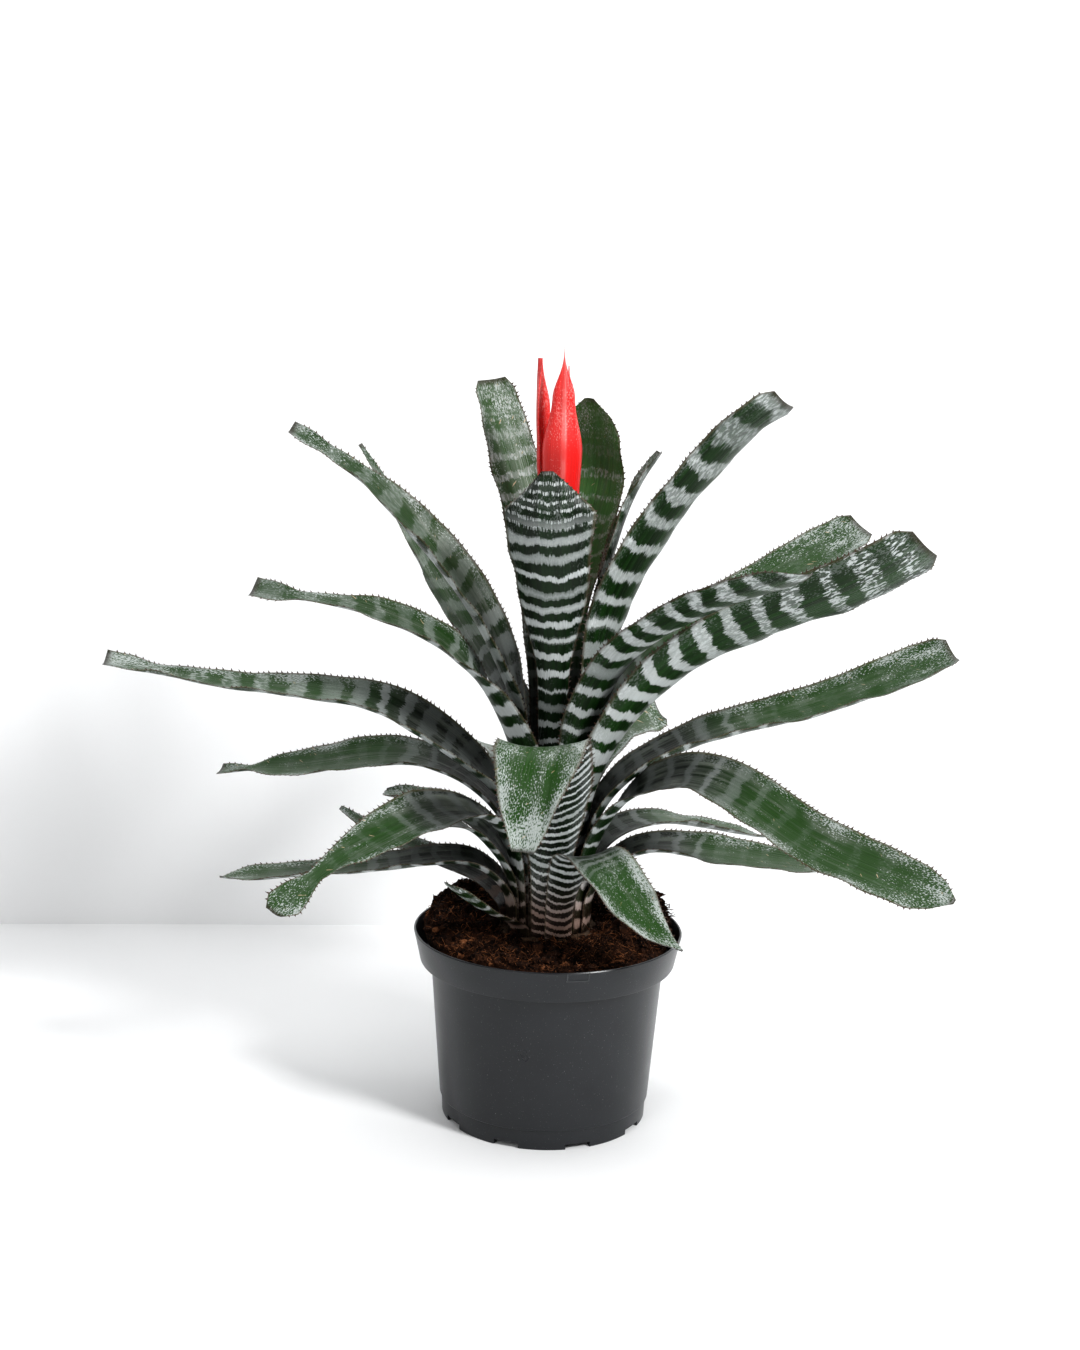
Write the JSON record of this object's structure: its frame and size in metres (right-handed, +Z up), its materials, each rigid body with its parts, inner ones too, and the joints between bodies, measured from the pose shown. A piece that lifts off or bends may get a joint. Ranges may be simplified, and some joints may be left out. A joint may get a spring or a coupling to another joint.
{
  "type": "potted bromeliad",
  "caption": "Zebra-banded bromeliad with a red bract spike and arching strap leaves, growing in a tapered round nursery pot filled with peat.",
  "frame": {"origin": "centre of the pot's flat underside, on the surface it stands on", "axes": "+Z up along the pot's axis; -Y is the front, where the two folded leaves hang; +X runs right, along the widest spread of the leaves"},
  "size_m": [0.5211, 0.3455, 0.4861],
  "materials": {
    "pot_plastic": "satin moulded",
    "soil_peat": "loose fibrous peat",
    "caudex_bark": "rough",
    "flower_stalk": "matt living tissue",
    "bract": "waxy satin with pale scurf",
    "leaf_blade": "waxy satin with silver cross-bands"
  },
  "bodies": {
    "root": {"pot": "pot_plastic", "soil": "soil_peat", "caudex": "caudex_bark", "flower_stalk": "flower_stalk", "bract_front": "bract", "bract_rear_left": "bract", "bract_rear_right": "bract", "leaf_front_centre": "leaf_blade", "leaf_back_right_upright": "leaf_blade", "leaf_edge_on_right": "leaf_blade", "leaf_back_left_upright": "leaf_blade", "leaf_upper_right": "leaf_blade", "leaf_upper_left": "leaf_blade", "leaf_right_folded": "leaf_blade", "leaf_upper_left_back": "leaf_blade", "leaf_mid_left": "leaf_blade", "leaf_right_back_mid": "leaf_blade", "leaf_right_checker": "leaf_blade", "leaf_back_long": "leaf_blade", "leaf_long_left": "leaf_blade", "leaf_back_right_short": "leaf_blade", "leaf_low_left_upper": "leaf_blade", "leaf_long_right": "leaf_blade", "leaf_back_left_mid": "leaf_blade", "leaf_front_left": "leaf_blade", "leaf_right_low_big": "leaf_blade", "leaf_right_low_back": "leaf_blade", "leaf_back_left_low": "leaf_blade", "leaf_front_fold": "leaf_blade", "leaf_right_low": "leaf_blade", "leaf_low_left_short": "leaf_blade", "leaf_low_left": "leaf_blade", "leaf_front_right_fold": "leaf_blade", "leaf_back_low": "leaf_blade", "leaf_low_pup": "leaf_blade", "leaf_low_left_back": "leaf_blade"}
  },
  "joints": []
}
